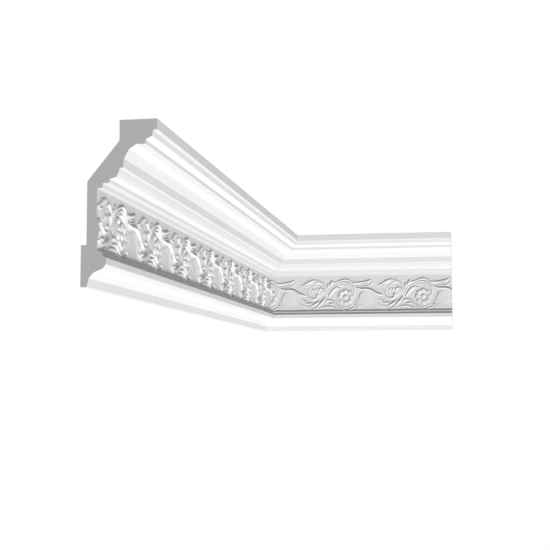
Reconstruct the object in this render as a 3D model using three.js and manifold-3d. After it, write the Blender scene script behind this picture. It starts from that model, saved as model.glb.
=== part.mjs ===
// A cornice for the inside corner of a room: two lengths of one cast moulding, mitred together.
// Each length has a flat back against the wall, a flat top against the ceiling, plain run
// mouldings, and a frieze with a repeating acanthus scroll and rosette in low relief.
import * as THREE from 'three';
import { mergeVertices } from 'three/addons/utils/BufferGeometryUtils.js';
import Module from 'manifold-3d';

const wasm = await Module();
wasm.setup();

// Driving dimensions in mm. A drop is measured down from the ceiling, and a reach out
// from the wall. The drops and reaches name the foot of each member of the section.
const cornice = { longLength: 1012, shortLength: 351.5, mitreGap: 0.3 };
const drops = {
  fascia: 11.3, topOvolo: 20.8, topFillet: 25.5, cove: 49.3, ovolo: 59.6, quirk: 64.5,
  friezeHead: 69.4, friezeFoot: 134.5, bead: 135.6, beadFoot: 140.1, band: 141.9, bandFoot: 147.1,
  footOvolo: 152.1, foot: 170,
};
const reaches = {
  fascia: 78.5, topOvolo: 74.5, topOvoloFoot: 66.6, topFillet: 66.3, cove: 57, coveFoot: 43.1,
  ovolo: 39.8, ovoloFoot: 29.7, quirk: 28.7, fillet: 22.5, filletFoot: 21.5, frieze: 16.2,
  bead: 21.7, band: 26.5, footOvolo: 21.8, foot: 6.6,
};
const back = { seatTop: 127.2, relief: 5.8, slopeFoot: 62.3, slopeHead: 21.3, ceilingSeat: 39.1 };

// The ornament: its repeat, the drop of the rosettes, and where each length's first rosette
// lies, measured from the corner. The first one of the long length lies past its square end.
const repeat = 142.3;
const rosetteDrop = 108.8;
const longTiles = { first: -1072.9, count: 8 };
const shortTiles = { first: 13.6, count: 3 };

// How finely curves are cut, how far carving is rooted below the frieze, how high the valleys
// between ribs stand as a share of the ribs, and how far the trimming shapes pass the piece.
const curveFacets = 5;
const rootDepth = 0.8;
const valleyShare = 0.6;
const margin = 5;

// The section is drawn with x out from the wall and y up, the ceiling at y = 0.
// An ovolo bulges into the room and a cove is hollow; both are quarter ellipses.
function ovolo(shape, reach, drop) {
  const { x, y } = shape.currentPoint;
  shape.absellipse(reach, y, x - reach, y + drop, 0, -Math.PI / 2, true);
}

function cove(shape, reach, drop) {
  const { x, y } = shape.currentPoint;
  shape.absellipse(x, -drop, x - reach, y + drop, Math.PI / 2, Math.PI, false);
}

function corniceSection() {
  const shape = new THREE.Shape();
  const to = (reach, drop) => shape.lineTo(reach, -drop);
  shape.moveTo(back.relief, -back.seatTop);
  to(back.relief, back.slopeFoot);
  to(back.ceilingSeat, back.slopeHead);
  to(back.ceilingSeat, 0);
  // the fascia at the ceiling, with a small ovolo and a fillet under it
  to(reaches.fascia, 0);
  to(reaches.fascia, drops.fascia);
  to(reaches.topOvolo, drops.fascia);
  ovolo(shape, reaches.topOvoloFoot, drops.topOvolo);
  to(reaches.topFillet, drops.topFillet);
  // the large cove, and the ovolo and fillets over the frieze
  to(reaches.cove, drops.topFillet);
  cove(shape, reaches.coveFoot, drops.cove);
  to(reaches.ovolo, drops.cove);
  ovolo(shape, reaches.ovoloFoot, drops.ovolo);
  to(reaches.quirk, drops.quirk);
  to(reaches.fillet, drops.quirk);
  to(reaches.filletFoot, drops.friezeHead);
  to(reaches.frieze, drops.friezeHead);
  to(reaches.frieze, drops.friezeFoot);
  // the bead, the band and the cyma at the foot, which ends flat on the wall
  to(reaches.bead, drops.bead);
  to(reaches.bead, drops.beadFoot);
  to(reaches.band, drops.band);
  to(reaches.band, drops.bandFoot);
  ovolo(shape, reaches.footOvolo, drops.footOvolo);
  cove(shape, reaches.foot, drops.foot);
  to(0, drops.foot);
  to(0, back.seatTop);
  shape.closePath();
  return shape;
}

function solidFrom(geometry) {
  geometry.deleteAttribute('normal');
  geometry.deleteAttribute('uv');
  const merged = mergeVertices(geometry, 1e-4);
  return new wasm.Manifold(new wasm.Mesh({
    numProp: 3,
    vertProperties: new Float32Array(merged.attributes.position.array),
    triVerts: new Uint32Array(merged.index.array),
  }));
}

function geometryFrom(solid) {
  const mesh = solid.getMesh();
  const geometry = new THREE.BufferGeometry();
  geometry.setAttribute('position', new THREE.BufferAttribute(mesh.vertProperties, 3));
  geometry.setIndex(new THREE.BufferAttribute(mesh.triVerts, 1));
  geometry.computeVertexNormals();
  return geometry;
}

const joined = (solids) => solids.reduce((whole, solid) => whole.add(solid));

// A carved leaf or stem on the frieze. It follows a smooth path through a few points, and its
// half width and its height run through their own lists from end to end. One rib makes a
// ridge, and lean moves its crest sideways: 0 is the middle, 1 the left edge seen along the
// path. More ribs make a fluted leaf, with a valley between each rib and the next.
function leaf(path, widths, heights, { ribs = 1, lean = 0, facet = 10 } = {}) {
  const curve = new THREE.CatmullRomCurve3(path.map(([x, y]) => new THREE.Vector3(x, y, 0)));
  const steps = Math.max(2, Math.round(curve.getLength() / facet));
  const along = (list, t) => {
    const place = t * (list.length - 1);
    const low = Math.min(Math.floor(place), list.length - 2);
    return THREE.MathUtils.lerp(list[low], list[low + 1], place - low);
  };
  const section = (half, top) => {
    const spread = rootDepth / top;
    const crests = [[half * (1 + (1 - lean) * spread), -rootDepth]];
    for (let i = 0; i < 2 * ribs - 1; i++) {
      const side = ribs === 1 ? lean : 1 - (i + 1) / ribs;
      crests.push([half * side, i % 2 ? top * valleyShare : top]);
    }
    crests.push([-half * (1 + (1 + lean) * spread), -rootDepth]);
    return crests;
  };
  const corners = [];
  for (let i = 0; i <= steps; i++) {
    const t = i / steps;
    const point = curve.getPoint(t);
    const tangent = curve.getTangent(t);
    const left = new THREE.Vector3(-tangent.y, tangent.x, 0);
    for (const [side, level] of section(along(widths, t), along(heights, t))) {
      corners.push(point.clone().addScaledVector(left, side).setZ(level));
    }
  }
  const ring = 2 * ribs + 1;
  const faces = [];
  for (let i = 0; i < steps; i++) {
    for (let j = 0; j < ring; j++) {
      const [a, b] = [i * ring + j, i * ring + (j + 1) % ring];
      faces.push(a, b, a + ring, b, b + ring, a + ring);
    }
  }
  const last = steps * ring;
  for (let j = 1; j < ring - 1; j++) faces.push(0, j + 1, j, last, last + j, last + j + 1);
  return solidFrom(new THREE.BufferGeometry().setFromPoints(corners).setIndex(faces));
}

// The rosette: eight cupped petals that dip towards a raised boss.
function rosette() {
  const petals = { count: 8, radius: 15.4, notch: 13.7, rim: 4.4, notchRim: 3 };
  const boss = { radius: 5, foot: 1.6, shoulder: 3.6, shoulderTop: 4, top: 5.2 };
  const perPetal = 3;
  const sides = petals.count * perPetal;
  const corners = [new THREE.Vector3(0, 0, boss.top), new THREE.Vector3(0, 0, -rootDepth)];
  const at = (angle, radius, level) => {
    corners.push(new THREE.Vector3(radius * Math.cos(angle), radius * Math.sin(angle), level));
    return corners.length - 1;
  };
  const [low, rim, foot, shoulder] = [[], [], [], []];
  for (let i = 0; i < sides; i++) {
    const angle = (i / sides) * 2 * Math.PI;
    const atNotch = i % perPetal === 0;
    const radius = atNotch ? petals.notch : petals.radius;
    low.push(at(angle, radius, -rootDepth));
    rim.push(at(angle, radius, atNotch ? petals.notchRim : petals.rim));
    if (atNotch) {
      foot.push(at(angle, boss.radius, boss.foot));
      shoulder.push(at(angle, boss.shoulder, boss.shoulderTop));
    }
  }
  const faces = [];
  for (let i = 0; i < sides; i++) {
    const next = (i + 1) % sides;
    const petal = Math.floor(i / perPetal);
    const following = (petal + 1) % petals.count;
    faces.push(low[i], low[next], rim[i], rim[i], low[next], rim[next], low[i], 1, low[next]);
    const inner = i % perPetal === perPetal - 1 ? following : petal;
    faces.push(rim[i], rim[next], foot[inner]);
    if (i % perPetal === perPetal - 1) {
      faces.push(rim[i], foot[following], foot[petal]);
      faces.push(foot[petal], foot[following], shoulder[petal], shoulder[petal], foot[following],
        shoulder[following], shoulder[petal], shoulder[following], 0);
    }
  }
  return solidFrom(new THREE.BufferGeometry().setFromPoints(corners).setIndex(faces));
}

// The scroll left of the rosette: an outer leaf, a fleshy ring that curls in, and small lobes.
function scroll() {
  return joined([
    leaf([[-80.5, 21.3], [-66, 25.5], [-49, 30]], [0.6, 4.6, 2.4], [1.5, 4.6, 3.6], { lean: 0.6, facet: 11 }),
    leaf([[-53, 25.5], [-42, 23], [-36.5, 10], [-42, -3]], [1.6, 4.4, 3.6, 1.6], [2.6, 5.2, 4.4, 3.2]),
    leaf([[-55, 22], [-64.5, 17], [-67, 3.5], [-57, -4.3], [-49.5, 5]],
      [2, 3.6, 3.5, 3, 1.8], [3, 4.2, 3.8, 4.2, 5.2], { facet: 9.5 }),
    ...[-57, -50, -43].map((x) => leaf([[x - 1, 10.6], [x, 14], [x + 0.6, 17.6]],
      [1, 2.7, 0.7], [2.4, 4.2, 3.4])),
  ]);
}

// The sheath that the stem comes from, the stem itself and the leaves at its foot.
function stem() {
  return joined([
    leaf([[19, 19], [42, 9.5], [62, -4], [70, -9]], [2, 7.6, 8, 2], [3.6, 4.2, 4.6, 2.5],
      { lean: 0.85, facet: 12 }),
    leaf([[57, -11], [70, -13], [84, -9.5]], [2, 4.6, 1], [2, 4.2, 2.5], { lean: 0.6, facet: 12 }),
    leaf([[56, -16], [74, -21.6], [95, -21]], [1.5, 2.8, 1.5], [1.5, 3.4, 2.6], { facet: 13 }),
    leaf([[-66, -16.5], [-54, -14], [-45.6, -5.6]], [1, 3, 0.7], [2.4, 4.2, 3.6], { lean: 0.6, facet: 12 }),
    leaf([[-46, -17], [-36, -6], [-25, 8], [-9, 16]], [1.6, 2.8, 3.4, 1.6], [2.6, 4.6, 4.8, 3.4],
      { facet: 12.5 }),
  ]);
}

// The large leaf: three ribs that sweep together over the rosette, a lobe on its back,
// the crest leaf that leaves it to the right, and the ring beside the petals.
function largeLeaf() {
  return joined([
    leaf([[-37.5, 6], [-28, 18], [-9, 26.8], [7, 24.5], [17, 12]], [2, 5.6, 6.8, 6.4, 3],
      [2.4, 3.8, 4.8, 5, 3.2], { ribs: 3, facet: 11.5 }),
    leaf([[-31, 23.5], [-27.5, 27], [-22.6, 31.4]], [2.2, 2.6, 0.8], [3.4, 4.2, 3.4], { facet: 12 }),
    leaf([[13, 27.8], [29, 24.6], [48, 31.2]], [1.6, 4.2, 0.9], [3.4, 4.8, 4.2], { ribs: 2, facet: 12 }),
    leaf([[21, 15], [22.6, 5], [15, -8]], [1.6, 2.6, 1], [2.6, 3.4, 2.2]),
  ]);
}

// The low leaf under the rosette: three waves, the middle one running on below the petals.
function waveLeaf() {
  return joined([
    leaf([[-37, -9], [-27, -5.9], [-13, -12]], [1.2, 2.4, 1], [2.4, 4.2, 2]),
    leaf([[-33, -14], [-17, -14], [3, -22.6], [20, -17.6]], [1, 2.3, 2.2, 1], [2, 4, 3.8, 3]),
    leaf([[-44, -19], [-26, -18.6], [-13, -22.6]], [1, 2, 1], [2, 3.2, 2], { facet: 12 }),
    leaf([[19, -13.4], [28, -15], [44, -20]], [1.8, 2, 0.6], [3.6, 3, 0.8], { facet: 12 }),
  ]);
}

// One repeat of the ornament, with x along the frieze, y up and z out of it,
// and the middle of the rosette at the origin.
const ornament = joined([rosette(), scroll(), stem(), largeLeaf(), waveLeaf()]);

// A length of the cornice, with x along it from left to right seen from the room, y up from
// the ceiling and z out from the wall. The plan is its outline seen from above, square at
// one end and mitred at the other, and it trims both the moulding and its ornament.
function corniceLength(start, end, plan, tiles) {
  const run = new THREE.ExtrudeGeometry(corniceSection(), {
    depth: end - start, bevelEnabled: false, curveSegments: curveFacets });
  run.rotateY(-Math.PI / 2).translate(end, 0, 0);
  let solid = solidFrom(run);
  for (let i = 0; i < tiles.count; i++) {
    solid = solid.add(ornament.translate([tiles.first + i * repeat, -rosetteDrop, reaches.frieze]));
  }
  const outline = new THREE.Shape(plan.map(([along, out]) => new THREE.Vector2(along, -out)));
  const trim = new THREE.ExtrudeGeometry(outline, { depth: drops.foot + 2 * margin, bevelEnabled: false });
  trim.rotateX(-Math.PI / 2).translate(0, -drops.foot - margin, 0);
  return geometryFrom(solid.intersect(solidFrom(trim)));
}

const halfGap = (cornice.mitreGap / 2) * Math.SQRT2;
const outside = reaches.fascia + margin;

const longPlan = [[-cornice.longLength, -margin], [margin - halfGap, -margin],
  [-outside - halfGap, outside], [-cornice.longLength, outside]];
const shortPlan = [[cornice.shortLength, -margin], [-margin + halfGap, -margin],
  [outside + halfGap, outside], [cornice.shortLength, outside]];

const longGeometry = corniceLength(-cornice.longLength - margin, margin, longPlan, longTiles);
const shortGeometry = corniceLength(-margin, cornice.shortLength + margin, shortPlan, shortTiles);

const castFoam = new THREE.MeshStandardMaterial({ color: 0xf1f0ec, roughness: 0.75, metalness: 0 });

const axisX = new THREE.Vector3(1, 0, 0);
const axisY = new THREE.Vector3(0, 1, 0);
const axisZ = new THREE.Vector3(0, 0, 1);

const longMesh = new THREE.Mesh(longGeometry, castFoam);
longMesh.name = 'long_length';
longMesh.setRotationFromMatrix(new THREE.Matrix4().makeBasis(axisY, axisZ, axisX));

const shortMesh = new THREE.Mesh(shortGeometry, castFoam);
shortMesh.name = 'short_length';
shortMesh.setRotationFromMatrix(new THREE.Matrix4().makeBasis(axisX, axisZ, axisY.clone().negate()));

// The origin is the middle of the long length's seat on the wall.
const corner = new THREE.Group();
corner.position.set(0, cornice.longLength / 2, (back.seatTop + drops.foot) / 2);
corner.add(longMesh, shortMesh);

const root = new THREE.Group();
root.add(corner);
root.updateMatrixWorld(true);

export default root;
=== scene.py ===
import math

import bmesh
import bpy
import numpy as np
from mathutils import Matrix, Vector


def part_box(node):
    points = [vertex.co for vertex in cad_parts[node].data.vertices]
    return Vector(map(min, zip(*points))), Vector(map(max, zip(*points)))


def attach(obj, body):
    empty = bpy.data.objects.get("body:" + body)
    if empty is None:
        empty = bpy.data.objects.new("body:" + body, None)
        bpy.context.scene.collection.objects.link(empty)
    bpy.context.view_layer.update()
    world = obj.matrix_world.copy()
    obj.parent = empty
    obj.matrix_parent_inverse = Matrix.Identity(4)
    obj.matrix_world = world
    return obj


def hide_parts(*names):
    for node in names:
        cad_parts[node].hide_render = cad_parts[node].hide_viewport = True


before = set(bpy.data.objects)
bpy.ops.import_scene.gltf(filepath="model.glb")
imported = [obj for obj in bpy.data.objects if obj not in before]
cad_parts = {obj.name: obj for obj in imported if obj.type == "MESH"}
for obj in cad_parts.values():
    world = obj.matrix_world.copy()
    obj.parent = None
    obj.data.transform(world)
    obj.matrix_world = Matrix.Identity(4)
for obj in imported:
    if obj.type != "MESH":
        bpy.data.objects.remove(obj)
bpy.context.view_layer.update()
MM = 0.001


# The moulding's section. Rigid polyurethane foam is cast in one long mould, so every length
# has the same run mouldings, worked in flat facets: over the frieze a fascia, and a hollow
# cove between two ovolos, and under it a bead, a band and a cyma. Its arrises are eased.
long_low, long_high = (np.array(corner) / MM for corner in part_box("long_length"))
short_high = np.array(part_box("short_length")[1]) / MM
ceiling = long_high[2]
corner_y = short_high[1]
square_end_y = long_low[1]
square_end_x = short_high[0]
frieze_reach = 16.2
frieze_head = 69.4
frieze_foot = 131.9
arris_radius = 0.45


def eased(outline, radius):
    """The outline with its sharp corners eased by small arcs, and points that hold long flats."""
    blunt_turn = math.radians(14)
    longest_share = 0.2
    long_flat = 3.0
    hold_gap = 0.4
    done = []
    for i, here in enumerate(outline):
        inward = np.subtract(outline[i - 1], here)
        onward = np.subtract(outline[(i + 1) % len(outline)], here)
        reach_in, reach_on = np.hypot(*inward), np.hypot(*onward)
        turn = math.acos(np.clip(-np.dot(inward, onward) / reach_in / reach_on, -1, 1))
        if turn < blunt_turn or here[0] == frieze_reach:
            done.append(tuple(here))
            continue
        cut = min(radius * math.tan(turn / 2), longest_share * reach_in, longest_share * reach_on)
        first = np.add(here, inward / reach_in * cut)
        last = np.add(here, onward / reach_on * cut)
        middle = 0.25 * first + 0.5 * np.array(here) + 0.25 * last
        if reach_in > long_flat:
            done.append(tuple(first + inward / reach_in * hold_gap))
        done += [tuple(first), tuple(middle), tuple(last)]
        if reach_on > long_flat:
            done.append(tuple(last + onward / reach_on * hold_gap))
    return done


# Each moulding's corners, as reach from the wall and drop from the ceiling in mm.
fascia = [(78.5, 0.0), (78.5, 11.3), (74.5, 11.3)]
upper_ovolo = [(73.2, 17.5), (66.8, 21.2), (66.3, 25.5)]
cove = [(57.0, 25.5), (49.3, 30.4), (44.3, 40.0), (43.1, 49.3)]
lower_ovolo = [(39.8, 49.3), (38.4, 54.5), (36.2, 58.7), (29.5, 60.3)]
fillets = [(28.7, 64.5), (22.5, 64.5), (21.5, frieze_head)]
frieze = [(frieze_reach, frieze_head), (frieze_reach, frieze_foot)]
bead = [(21.9, 135.1), (21.6, 137.2)]
band = [(26.7, 140.4), (26.5, 147.1)]
cyma = [(23.2, 151.5), (13.6, 155.4), (8.7, 161.0), (6.4, 170.0)]
back = [(0.0, 170.0), (0.0, 127.2), (5.8, 127.2), (5.8, 62.3), (39.1, 21.3), (39.1, 0.0)]
ledge_fall = (bead[0][1] - frieze_foot) / (bead[0][0] - frieze_reach)
outline = eased(fascia + upper_ovolo + cove + lower_ovolo + fillets + frieze + bead + band + cyma
                + back, arris_radius)
head_index = outline.index((frieze_reach, frieze_head))


# The ornament of the frieze, in low relief up to about 6 mm high, cast in one with the moulding.
# A sheath gives rise to a stem, the stem to a curled scroll and a large leaf that sweeps over a
# rosette, and the whole repeats every 142.3 mm. Each form is a stroke: a path in mm from the
# rosette's middle, its half widths and heights along the path, and the shape of its section.
repeat = 142.3
carving_depth = 0.64
lobe_length = 4.4
notch_depth = 0.5
notch_slant = 0.4
slender = 1.2
rosette_drop = 109.9
long_rosette = -930.6
short_rosette = 157.5

pads = [
    ([(-61, 17), (-53, 13)], [15.5, 15], [1.4, 1.4], "pad"),
    ([(-37, 3), (-33, 13), (-25, 22), (-12, 26), (0, 26.6), (9, 23), (15, 16), (16.5, 7)],
     [2.5, 5, 7, 5.4, 5.6, 5.4, 4, 3], [0.3, 0.6, 1, 1.2, 1.2, 1.2, 1.2, 0.8], "pad"),
    ([(36, 1), (36.5, -8), (36, -17), (46, -28)], [13, 16, 19, 22], [2.8, 2.4, 1.5, 0.8], "pad"),
]
sheath = [
    ([(17, 19), (26, 15.6), (35, 12), (43.5, 7.4), (50.4, 1.2), (56, -6), (61.4, -13), (68, -19),
      (76, -23)],
     [1.8, 4.2, 8, 10.8, 11.8, 11.6, 9.6, 6.4, 3],
     [2.2, 3.6, 4.2, 4.6, 4.6, 4.2, 3.6, 2.6, 1.4], "sheath"),
    ([(17, 20), (25, 16.9), (32, 15.5), (40, 15.3), (47, 13.7), (53, 10), (58, 7.1), (64, 5.3),
      (70.5, 4.5)],
     [1.2, 2.3, 3, 3.5, 3.9, 3.9, 3.7, 3.2, 1], [4, 8, 9.2, 9.6, 9.8, 9.6, 9, 8.4, 5], "rib"),
    ([(56, -0.4), (60, -2.4), (64.4, -4.6), (68.6, -6.4), (72, -8)],
     [1, 2.2, 2.6, 2.4, 1.2], [5.5, 7.4, 7.7, 7, 4.8], "rib"),
    ([(66, -9.2), (71, -10), (77, -10.4), (83, -9.8)],
     [1.2, 2.4, 2.4, 1.2], [5.6, 7.4, 7, 4], "rib"),
    ([(57, -10), (63, -12.8), (69, -15.6), (76, -18)],
     [1.2, 2.4, 2.6, 1.4], [4.4, 6, 5, 2.6], "rib"),
    ([(68, -19.6), (75, -21.4), (83, -22)], [1.2, 2, 1.2], [1.7, 2.6, 1.4], "rib"),
]
scroll = [
    ([(-81.5, 22.2), (-76, 23.4), (-70, 26.2), (-64, 29.2), (-58, 30.6), (-51, 30.2), (-45, 28)],
     [1, 2.8, 4.2, 4.6, 4.4, 3.6, 2], [2.4, 3.8, 4.1, 3.8, 3.4, 2.9, 1.9], "lean"),
    ([(-78, 21), (-72.4, 21.4), (-67, 23.6)], [1, 1.8, 1.2], [2.9, 4.1, 3.4], "rib"),
    ([(-57.5, 23.6), (-54, 26.2), (-50, 27.8), (-45, 27.2), (-41, 24.4), (-38.4, 19.6),
      (-37.4, 14)],
     [1, 2.6, 3.4, 3.4, 3.2, 2.8, 1.4], [2.4, 4.1, 4.6, 4.6, 4.1, 3.4, 2.2], "lean"),
    ([(-49.5, 12.6), (-47, 15.6), (-43.8, 16.2), (-41, 13.8), (-39.6, 9.6)],
     [1.2, 2.4, 2.8, 2.4, 1.2], [3.6, 5.6, 6.2, 5.4, 3.4], "lean"),
    ([(-39.8, 17.4), (-37, 15), (-34.8, 11.2)], [1.4, 2, 1.2], [2.6, 3.8, 2.6], "rib"),
    ([(-50, 21.8), (-57, 22.2), (-63.5, 19), (-67.6, 12.5), (-68, 5.6), (-64.6, 0.4), (-59.4, -1.9),
      (-54.4, -0.8), (-51.4, 3)],
     [1.4, 2, 2.4, 2.6, 2.6, 2.6, 2.6, 2.5, 2.2],
     [1.6, 1.8, 1.8, 2, 3, 4.6, 5.2, 5.4, 5.4], "rib"),
    ([(-52.6, 4.4), (-50.4, 5.4)], [2.8, 2.6], [5.5, 5.5], "rib"),
    ([(-62.4, 10), (-60.2, 14.2), (-57.6, 18)], [1.2, 2.2, 1.2], [2.6, 4.6, 3.6], "rib"),
    ([(-57, 10.6), (-54.6, 14.6), (-52, 18)], [1.2, 2.2, 1.2], [2.6, 4.6, 3.6], "rib"),
    ([(-53, 9.4), (-50.4, 12), (-49, 15)], [1, 1.8, 1], [2.4, 3.8, 3.1], "rib"),
]
low_leaves = [
    ([(-64.5, -15.6), (-60, -13.4), (-55.4, -11.2), (-51.4, -8.8), (-47.6, -6)],
     [1.2, 2.4, 2.7, 2.5, 1.6], [3, 5.2, 6, 6, 4.4], "rib"),
    ([(-60, -20.6), (-53, -17.8), (-47.4, -13.8)], [1.2, 2.2, 1.2], [1.9, 3.1, 2.9], "rib"),
    ([(-52, -21.4), (-46, -18.6), (-42, -14.8)], [1, 1.8, 1], [1.4, 2.6, 2.2], "rib"),
    ([(-51, -14.6), (-46.4, -10.8), (-42.4, -6.8), (-39, -2.4), (-36.8, 1.6)],
     [1.4, 2.4, 2.6, 2.4, 1.4], [3.4, 5.8, 6.6, 5, 2], "rib"),
    ([(-31.5, 1.5), (-28.2, 7), (-24.4, 11.8), (-20.2, 15.8), (-15.6, 18), (-11.8, 17),
      (-8.8, 14.4)],
     [1.4, 2.6, 3.2, 3.7, 3.7, 3, 1.6], [2.4, 3.8, 4.6, 4.8, 4.8, 4.1, 2.6], "rib"),
]
large_leaf = [
    ([(-38.6, 1), (-36.8, 9.5), (-32.6, 17.6), (-25.6, 24), (-16, 28.6), (-8, 31.4), (-2, 33),
      (3, 33), (8, 31.2), (12, 27.4), (15, 22), (16.6, 15), (16.2, 8), (14.4, 1.6)],
     [1, 1.8, 2.2, 2.2, 2, 2.1, 2.2, 2.2, 2.3, 2.4, 2.4, 2.4, 2.2, 1.2],
     [0.6, 0.9, 1.3, 1.8, 2.6, 3.6, 4.4, 4.6, 4.6, 4.3, 4.1, 3.4, 2.6, 1.7], "rib"),
    ([(-34.4, 4), (-31.4, 12), (-25.4, 18.6), (-17, 23.4), (-10, 26.8), (-4, 28.4), (1.4, 28),
      (6, 25.2), (9.6, 21.4), (12, 16.4), (12.8, 10)],
     [1, 1.6, 2, 1.8, 1.7, 1.8, 1.8, 2, 2, 1.9, 1.2],
     [1.7, 2.4, 2.4, 2.4, 2.9, 3.6, 3.8, 3.8, 3.6, 2.9, 1.9], "rib"),
    ([(-15, 22.4), (-9, 23), (-4, 23.8), (0.6, 22.6), (4.4, 19.6), (6.8, 16)],
     [1, 1.7, 2, 2, 1.8, 1], [1.9, 2.9, 3.4, 3.4, 2.9, 1.9], "rib"),
    ([(-32.6, 18), (-31.8, 21.8), (-31, 25)], [2, 3, 1.8], [2.4, 3.8, 3.8], "rib"),
    ([(-29, 20), (-26.6, 25), (-24, 30.2)], [2.4, 3.6, 2.2], [2.9, 4.3, 4.4], "rib"),
    ([(-24.4, 24), (-21.6, 27.2), (-19, 29)], [1.6, 2.2, 1], [2.6, 3.4, 2.6], "rib"),
    ([(10, 27.6), (16, 26.6), (23, 26.6), (30, 27.2), (37, 28.4), (42, 29.6), (48.5, 33.2)],
     [1.8, 2.6, 2.6, 2.7, 3, 2.9, 0.8], [3.6, 3.8, 3.8, 4.1, 4.6, 4.6, 3.1], "rib"),
    ([(22, 24.4), (30, 23.8), (37, 24.4), (42.6, 26.4), (46.4, 30.4)],
     [0.8, 1.2, 1.4, 1.4, 0.8], [2, 3.2, 3.8, 3.8, 2.6], "rib"),
    ([(20, 22.4), (26, 20.8), (33, 20.2), (40, 20.8), (45.4, 23.4), (48.8, 27.6), (50.8, 32)],
     [0.8, 1.4, 1.6, 1.8, 1.7, 1.4, 0.8], [1.6, 2.6, 3.2, 3.4, 3.2, 2.6, 1.6], "rib"),
]
wave_leaf = [
    ([(-38.5, -8.4), (-34, -5.4), (-28, -4.7), (-22.6, -6.2), (-18, -9), (-14.4, -11.4)],
     [1, 2.2, 2.4, 2.3, 2, 1.1], [2.4, 3.8, 4.1, 3.8, 3.1, 1.9], "rib"),
    ([(-31, -12.4), (-27, -10.9), (-21.6, -10.6), (-16.4, -12.4), (-12.6, -15.4), (-9, -18.6),
      (-4.4, -21.2), (1, -22.6), (7, -21.8), (12.4, -19.8), (17.6, -17.6)],
     [1, 2.2, 2.4, 2.3, 2.2, 2.2, 2.1, 2, 2, 2, 1.2],
     [2.4, 4.1, 4.6, 4.6, 4.3, 4.1, 3.8, 3.8, 3.8, 3.6, 2.4], "rib"),
    ([(-44, -17.6), (-37, -16.4), (-29, -16.2), (-23, -17.2), (-17.4, -19.8), (-12.5, -22.6)],
     [1, 2.1, 2.3, 2.3, 2.1, 1.2], [2.4, 3.6, 3.8, 3.8, 3.4, 2.2], "rib"),
    ([(-12, -12), (-6, -16.4), (1, -18), (8, -16.4), (13, -12.4)],
     [1, 1.6, 1.8, 1.6, 1], [1, 1.7, 1.9, 1.7, 1], "rib"),
    ([(18.6, -13.6), (21, -14.2)], [1.7, 1.9], [3.1, 3.6], "rib"),
    ([(22.6, -17), (25.4, -16.4)], [1.7, 1.9], [3.1, 3.6], "rib"),
    ([(27, -13.8), (29.6, -14.6)], [1.3, 1.6], [2.6, 2.9], "rib"),
    ([(31.6, -17.4), (34.4, -16.2)], [1.2, 1.4], [2.4, 2.6], "rib"),
    ([(38, -18.6), (41, -19.6), (45, -21.6)], [1.2, 1.6, 0.8], [2.4, 2.6, 1.9], "rib"),
]


def smooth(x):
    """An even S-shaped rise from 0 to 1 as x goes from 0 to 1."""
    x = np.clip(x, 0, 1)
    return x * x * (3 - 2 * x)


def smooth_path(points, steps):
    """Points of a smooth curve through the given ones, and the direction at each."""
    p = np.array(points, float)
    ends = np.vstack([2 * p[0] - p[1], p, 2 * p[-1] - p[-2]])
    t = np.linspace(0, len(p) - 1, steps)
    k = np.minimum(t.astype(int), len(p) - 2)
    f = (t - k)[:, None]
    a, b, c, d = ends[k], ends[k + 1], ends[k + 2], ends[k + 3]
    curve = 0.5 * (2 * b + (c - a) * f + (2 * a - 5 * b + 4 * c - d) * f ** 2
                   + (3 * b - a - 3 * c + d) * f ** 3)
    direction = np.gradient(curve, axis=0)
    return curve, direction / np.linalg.norm(direction, axis=1)[:, None]


def section_height(form, across, half, top):
    """A section's height, 0 to 1, where across is -1 at the right edge and 1 at the left."""
    from_edge = (1 - np.abs(across)) * half
    if form == "pad":
        pad_slope = 4.5
        return smooth(from_edge / pad_slope)
    if form == "sheath":
        steep_slope, fall_rate = 3.2, 0.6
        steep_side = smooth((1 - across) * half / steep_slope)
        long_fall = smooth((1 + across) * fall_rate)
        return np.minimum(steep_side, long_fall)
    if form == "lean":
        crest, fullness = 0.45, 0.8
        steep_side = smooth((1 - across) / (1 - crest))
        long_side = smooth((1 + across) / (1 + crest)) ** fullness
        return np.where(across > crest, steep_side, long_side)
    least_shoulder, shoulder_share, crown = 1.5, 0.42, 1.5
    shoulder = np.maximum(least_shoulder, shoulder_share * top)
    return smooth(np.minimum(from_edge / shoulder, (1 - np.abs(across)) * crown))


def stroke_height(x, y, path, widths, heights, form):
    """The height that one stroke gives at the points x, y, with lobes along a leaf's edges."""
    steps_per_point = 14
    steps = steps_per_point * len(path)
    curve, direction = smooth_path(path, steps)
    t = np.linspace(0, 1, steps)
    half = np.interp(t, np.linspace(0, 1, len(widths)), widths)
    top = np.interp(t, np.linspace(0, 1, len(heights)), heights)
    z = np.zeros_like(x)
    reach = max(widths) + 1
    near = ((x > curve[:, 0].min() - reach) & (x < curve[:, 0].max() + reach)
            & (y > curve[:, 1].min() - reach) & (y < curve[:, 1].max() + reach))
    if not near.any():
        return z
    dx = x[near][:, None] - curve[:, 0][None]
    dy = y[near][:, None] - curve[:, 1][None]
    gap = np.hypot(dx, dy) - half[None]
    i = gap.argmin(1)
    row = np.arange(len(i))
    side = np.sign(direction[i, 0] * dy[row, i] - direction[i, 1] * dx[row, i])
    across = np.clip((gap[row, i] + half[i]) / half[i], 0, 1) * side
    height = top[i] * section_height(form, across, half[i], top[i])
    if form in ("rib", "lean"):
        travelled = np.cumsum(np.linalg.norm(np.diff(curve, axis=0, prepend=curve[:1]), axis=1))
        lobes = travelled[i] / lobe_length + notch_slant * np.abs(across)
        notch = 0.5 + 0.5 * np.cos(2 * np.pi * lobes)
        height *= 1 - notch_depth * np.abs(across) * notch ** 3 * smooth(half[i] - slender)
    z[near] = np.where(gap[row, i] < 0, height, 0)
    return z


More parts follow.
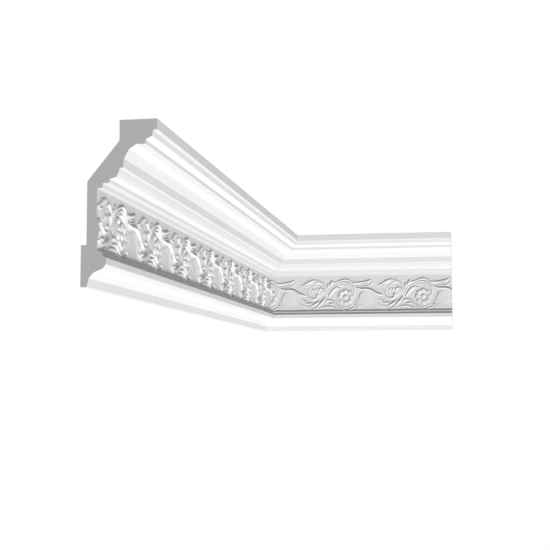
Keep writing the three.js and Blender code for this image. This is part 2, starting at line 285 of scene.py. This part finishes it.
def rosette_height(x, y):
    """Eight cupped petals with a groove between each two, round a domed boss."""
    petals = 8
    radius, tip = 15.4, 2.4
    cup_foot, cup_run, cup_rise = 5.5, 4.5, 3.3
    groove_depth, groove_width = 0.5, 0.9
    boss, boss_rise = 5.4, 4.6
    middle_x, middle_y = 0.2, 1.2
    x, y = x - middle_x, y - middle_y
    r = np.hypot(x, y)
    turn = (np.arctan2(y, x) * petals / (2 * np.pi) + 0.5) % 1 - 0.5
    edge = radius - tip * np.abs(2 * turn) ** 3
    cup = 1 + cup_rise * smooth((r - cup_foot) / cup_run)
    from_groove = (0.5 - np.abs(turn)) * 2 * np.pi / petals * r
    groove = 1 - groove_depth * np.exp(-(from_groove / groove_width) ** 2)
    petal = cup * smooth((edge - r) / tip) * groove
    dome = boss_rise * smooth((boss - r) / boss * 1.8)
    return np.maximum(petal, dome)


def ornament_height(x, y):
    """The height of one whole repeat, which also takes what its neighbours reach into it."""
    ground = np.zeros_like(x)
    carved = np.zeros_like(x)
    for shift in (-repeat, 0, repeat):
        for path, widths, heights, form in pads:
            ground = np.maximum(ground, stroke_height(x - shift, y, path, widths, heights, form))
        for path, widths, heights, form in sheath + scroll + low_leaves + large_leaf + wave_leaf:
            carved = np.maximum(carved, stroke_height(x - shift, y, path, widths, heights, form))
        carved = np.maximum(carved, rosette_height(x - shift, y))
    return carving_depth * np.hypot(ground, carved)


# The skin and the cut. The mould face carries a thin white factory primer, matt and very
# slightly uneven, and a saw cut shows the bare foam, which is greyer and finely cellular.
def node(tree, kind, links=(), **settings):
    """A node with its settings, and links given as (input, where it comes from)."""
    made = tree.nodes.new(kind)
    for key, value in settings.items():
        setattr(made, key, value)
    for socket, source in links:
        if isinstance(source, bpy.types.NodeSocket):
            tree.links.new(source, made.inputs[socket])
        else:
            made.inputs[socket].default_value = source
    return made


def fine_unevenness():
    """A shader node group: two sizes of noise as a colour factor, a roughness and a height."""
    group = bpy.data.node_groups.new("fine_unevenness", "ShaderNodeTree")
    usual = {"Patch Scale": 9.0, "Grain Scale": 900.0, "Roughness Low": 0.5, "Roughness High": 0.6}
    for label, value in usual.items():
        socket = group.interface.new_socket(label, in_out="INPUT", socket_type="NodeSocketFloat")
        socket.default_value = value
    for label in ("Patch", "Roughness", "Height"):
        group.interface.new_socket(label, in_out="OUTPUT", socket_type="NodeSocketFloat")
    source = node(group, "NodeGroupInput")
    out = node(group, "NodeGroupOutput")
    place = node(group, "ShaderNodeTexCoord").outputs["Object"]
    patch = node(group, "ShaderNodeTexNoise",
                 [("Vector", place), ("Scale", source.outputs["Patch Scale"]),
                  ("Detail", 3.0), ("Roughness", 0.5)])
    grain = node(group, "ShaderNodeTexNoise",
                 [("Vector", place), ("Scale", source.outputs["Grain Scale"]),
                  ("Detail", 2.0), ("Roughness", 0.6)])
    rough = node(group, "ShaderNodeMapRange",
                 [("Value", patch.outputs[0]), ("From Min", 0.3), ("From Max", 0.7),
                  ("To Min", source.outputs["Roughness Low"]),
                  ("To Max", source.outputs["Roughness High"])])
    group.links.new(patch.outputs[0], out.inputs["Patch"])
    group.links.new(rough.outputs[0], out.inputs["Roughness"])
    group.links.new(grain.outputs[0], out.inputs["Height"])
    return group


uneven = fine_unevenness()


def new_material(name):
    """A node material with nothing but its Principled shader."""
    material = bpy.data.materials.new(name)
    material.use_nodes = True
    tree = material.node_tree
    tree.nodes.clear()
    shader = tree.nodes.new("ShaderNodeBsdfPrincipled")
    output = tree.nodes.new("ShaderNodeOutputMaterial")
    tree.links.new(shader.outputs[0], output.inputs[0])
    return material, shader


def primed_skin():
    """White primer: a little duller in patches, with a fine spray texture."""
    dull_white = (0.74, 0.74, 0.736, 1)
    full_white = (0.79, 0.79, 0.787, 1)
    material, shader = new_material("primed_skin")
    tree = material.node_tree
    look = node(tree, "ShaderNodeGroup", node_tree=uneven)
    look.inputs["Patch Scale"].default_value = 7.0
    look.inputs["Grain Scale"].default_value = 1400.0
    look.inputs["Roughness Low"].default_value = 0.52
    look.inputs["Roughness High"].default_value = 0.62
    colour = node(tree, "ShaderNodeMix",
                  [("Factor", look.outputs["Patch"]), ("A", dull_white), ("B", full_white)],
                  data_type="RGBA")
    bump = node(tree, "ShaderNodeBump",
                [("Height", look.outputs["Height"]), ("Strength", 0.06), ("Distance", 0.0003)])
    tree.links.new(colour.outputs["Result"], shader.inputs["Base Color"])
    tree.links.new(look.outputs["Roughness"], shader.inputs["Roughness"])
    tree.links.new(bump.outputs[0], shader.inputs["Normal"])
    shader.inputs["Specular IOR Level"].default_value = 0.4
    return material


def sawn_foam():
    """Bare foam where it was sawn: grey and dead matt, with tiny open cells."""
    dark_foam = (0.43, 0.43, 0.426, 1)
    pale_foam = (0.475, 0.475, 0.47, 1)
    material, shader = new_material("sawn_foam")
    tree = material.node_tree
    look = node(tree, "ShaderNodeGroup", node_tree=uneven)
    look.inputs["Patch Scale"].default_value = 22.0
    look.inputs["Roughness Low"].default_value = 0.86
    look.inputs["Roughness High"].default_value = 0.95
    place = node(tree, "ShaderNodeTexCoord").outputs["Object"]
    cells = node(tree, "ShaderNodeTexVoronoi", [("Vector", place), ("Scale", 1500.0)])
    colour = node(tree, "ShaderNodeMix",
                  [("Factor", look.outputs["Patch"]), ("A", dark_foam), ("B", pale_foam)],
                  data_type="RGBA")
    bump = node(tree, "ShaderNodeBump",
                [("Height", cells.outputs["Distance"]), ("Strength", 0.25), ("Distance", 0.0003)])
    tree.links.new(colour.outputs["Result"], shader.inputs["Base Color"])
    tree.links.new(look.outputs["Roughness"], shader.inputs["Roughness"])
    tree.links.new(bump.outputs[0], shader.inputs["Normal"])
    shader.inputs["Specular IOR Level"].default_value = 0.2
    return material


skin = primed_skin()
foam = sawn_foam()


# One length of cornice. The mould gives an endless run, which is sawn to length: square at
# one end and at 45 degrees at the other, where the two lengths are glued with a hairline joint.
half_joint = 0.02
saw_waste = 6.0
head_fade = 1.2
foam_index = 1


def frieze_points(start, end, rosette, columns, rows):
    """The frieze's surface as a grid of points: down its height, and along the run."""
    pitch = repeat / columns
    first = rosette + pitch * math.floor((start - rosette) / pitch)
    along = np.arange(first, end + pitch, pitch)
    drops = np.linspace(frieze_head, frieze_foot, rows)
    place = np.round((along - rosette + repeat / 2) / pitch).astype(int) % columns
    tile_x = np.arange(columns) * pitch - repeat / 2
    grid_x, grid_y = np.meshgrid(tile_x, rosette_drop - drops)
    height = ornament_height(grid_x.ravel(), grid_y.ravel()).reshape(grid_x.shape)[:, place]
    height = height * smooth((drops - frieze_head) / head_fade)[:, None]
    u = np.broadcast_to(along, height.shape)
    v = np.broadcast_to(-drops[:, None], height.shape).copy()
    v[-1] -= height[-1] * ledge_fall
    return np.stack([u, v, frieze_reach + height], 2)


def raw_run(start, end, rosette, columns, rows):
    """The run before it is sawn, in its own frame: x along it, y up and z out from the wall."""
    carving = frieze_points(start, end, rosette, columns, rows)
    low, high = carving[0, 0, 0], carving[0, -1, 0]
    count = carving.shape[1]
    points = carving.reshape(-1, 3).tolist()
    others = [p for i, p in enumerate(outline) if i not in (head_index, head_index + 1)]
    chain = len(points)
    for reach, drop in others:
        points += [(low, -drop, reach), (high, -drop, reach)]
    grid = np.arange(rows * count).reshape(rows, count)
    corners = np.stack([grid[:-1, :-1], grid[1:, :-1], grid[1:, 1:], grid[:-1, 1:]], 2)
    faces = corners.reshape(-1, 4).tolist()
    carved = len(faces)
    for i in range(len(others)):
        j = (i + 1) % len(others)
        here, after = chain + 2 * i, chain + 2 * j
        if i == head_index - 1:
            faces.append([here] + grid[0].tolist() + [here + 1])
            faces.append(grid[-1, ::-1].tolist() + [after, after + 1])
        else:
            faces.append([here, after, after + 1, here + 1])
    mesh = bpy.data.meshes.new("raw_run")
    mesh.from_pydata(points, [], faces)
    mesh.polygons.foreach_set("use_smooth", [True] * len(faces))
    return mesh, carved


def sawn_run(name, mesh, carved, cuts, to_world):
    """The raw run cut by planes, each a point and the direction of its waste side, and placed."""
    cut_tolerance = 1e-4
    sharp_turn = math.radians(40)
    work = bmesh.new()
    work.from_mesh(mesh)
    work.faces.ensure_lookup_table()
    is_carved = work.faces.layers.int.new("carved")
    for face in work.faces[:carved]:
        face[is_carved] = 1
    for point, waste in cuts:
        everything = work.verts[:] + work.edges[:] + work.faces[:]
        cut = bmesh.ops.bisect_plane(work, geom=everything, dist=cut_tolerance, plane_co=point,
                                     plane_no=waste, clear_outer=True)
        rim = [e for e in cut["geom_cut"] if isinstance(e, bmesh.types.BMEdge) and e.is_boundary]
        filled = bmesh.ops.triangle_fill(work, use_beauty=True, edges=rim, normal=waste)
        for face in filled["geom"]:
            if isinstance(face, bmesh.types.BMFace):
                face.material_index = foam_index
                face.smooth = False
    work.normal_update()
    bmesh.ops.recalc_face_normals(work, faces=work.faces[:])
    for edge in work.edges:
        inside = all(f[is_carved] for f in edge.link_faces)
        edge.smooth = inside or edge.calc_face_angle(0) < sharp_turn
    work.faces.layers.int.remove(is_carved)
    work.transform(to_world)
    sawn = bpy.data.meshes.new(name)
    work.to_mesh(sawn)
    work.free()
    piece = bpy.data.objects.new(name, sawn)
    bpy.context.scene.collection.objects.link(piece)
    sawn.materials.append(skin)
    sawn.materials.append(foam)
    return piece


# The long length, on the left. It is one casting, sawn square at the end towards the room and
# mitred in the corner, and it is glued by its back to the wall and by its top to the ceiling.
long_columns, long_rows = 160, 74
long_end = square_end_y - corner_y
long_mesh, long_carved = raw_run(long_end - saw_waste, saw_waste, long_rosette,
                                 long_columns, long_rows)
long_cuts = [((long_end, 0, 0), (-1, 0, 0)), ((-half_joint, 0, 0), (1, 0, 1))]
long_place = Matrix(((0, 0, MM, 0),
                     (MM, 0, 0, corner_y * MM),
                     (0, MM, 0, ceiling * MM),
                     (0, 0, 0, 1)))
long_piece = sawn_run("long_cornice", long_mesh, long_carved, long_cuts, long_place)
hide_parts("long_length")
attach(long_piece, "root")


# The short length, on the right. It is cut from the same run, mitred in the corner and sawn
# square at its far end, and glued to the other wall and the ceiling in the same way.
short_columns, short_rows = 250, 116
short_mesh, short_carved = raw_run(-saw_waste, square_end_x + saw_waste, short_rosette,
                                   short_columns, short_rows)
short_cuts = [((square_end_x, 0, 0), (1, 0, 0)), ((half_joint, 0, 0), (-1, 0, 1))]
short_place = Matrix(((MM, 0, 0, 0),
                      (0, 0, -MM, corner_y * MM),
                      (0, MM, 0, ceiling * MM),
                      (0, 0, 0, 1)))
short_piece = sawn_run("short_cornice", short_mesh, short_carved, short_cuts, short_place)
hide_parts("short_length")
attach(short_piece, "root")


# The studio: a pale floor well below, a soft distant lamp in front and a little below, a wide
# one from underneath, one behind for the back and the floor, and an even bright surround. The
# camera looks slightly up into the corner, about in line with the short length's sawn end.
floor_side = 6.0
floor_near = -8.0
floor_far = 6.0
floor_level = -2.2
floor_corners = [(-floor_side, floor_near, floor_level), (floor_side, floor_near, floor_level),
                 (floor_side, floor_far, floor_level), (-floor_side, floor_far, floor_level)]
floor_mesh = bpy.data.meshes.new("floor")
floor_mesh.from_pydata(floor_corners, [], [(0, 1, 2, 3)])
floor = bpy.data.objects.new("floor", floor_mesh)
bpy.context.scene.collection.objects.link(floor)
floor_paint, floor_shader = new_material("pale_floor")
floor_shader.inputs["Base Color"].default_value = (0.86, 0.86, 0.86, 1)
floor_shader.inputs["Roughness"].default_value = 0.7
floor_mesh.materials.append(floor_paint)


def distant_lamp(name, towards, strength, spread):
    """A lamp far away in a direction, with the spread in degrees that softens its shadows."""
    lamp = bpy.data.lights.new(name, "SUN")
    lamp.energy = strength
    lamp.angle = math.radians(spread)
    holder = bpy.data.objects.new(name, lamp)
    holder.rotation_euler = Vector(towards).to_track_quat("Z", "Y").to_euler()
    bpy.context.scene.collection.objects.link(holder)


# The lamps shine through the floor, and the white faces throw no light on one another, which
# keeps the small shadows of the carving crisp up to the mitre.
floor.visible_shadow = False
for piece in (long_piece, short_piece, floor):
    piece.visible_diffuse = False
distant_lamp("front", towards=(0.24, -0.42, -0.31), strength=2.36, spread=6)
distant_lamp("under", towards=(0.22, -0.05, -0.55), strength=1.85, spread=55)
distant_lamp("behind", towards=(-0.60, 0.42, 0.75), strength=2.6, spread=30)

surround_seen = 1.0
surround_light = 0.28
world = bpy.data.worlds.new("surround")
bpy.context.scene.world = world
world.use_nodes = True
sky = world.node_tree
sky.nodes.clear()
seen = node(sky, "ShaderNodeBackground", [("Color", (1, 1, 1, 1)), ("Strength", surround_seen)])
lit = node(sky, "ShaderNodeBackground", [("Color", (1, 1, 1, 1)), ("Strength", surround_light)])
is_camera_ray = node(sky, "ShaderNodeLightPath").outputs["Is Camera Ray"]
which = node(sky, "ShaderNodeMixShader",
             [(0, is_camera_ray), (1, lit.outputs[0]), (2, seen.outputs[0])])
node(sky, "ShaderNodeOutputWorld", [("Surface", which.outputs[0])])
bpy.context.scene.view_settings.view_transform = "Standard"

camera_out = 0.3907
camera_back = 2.1124
camera_drop = 0.2659
camera_tilt = math.radians(95.375)
camera_turn = math.radians(9.872)
camera_data = bpy.data.cameras.new("camera")
camera_data.lens = 75.04
camera = bpy.data.objects.new("camera", camera_data)
camera.location = (camera_out, corner_y * MM - camera_back, ceiling * MM - camera_drop)
camera.rotation_euler = (camera_tilt, 0, camera_turn)
bpy.context.scene.collection.objects.link(camera)
bpy.context.scene.camera = camera
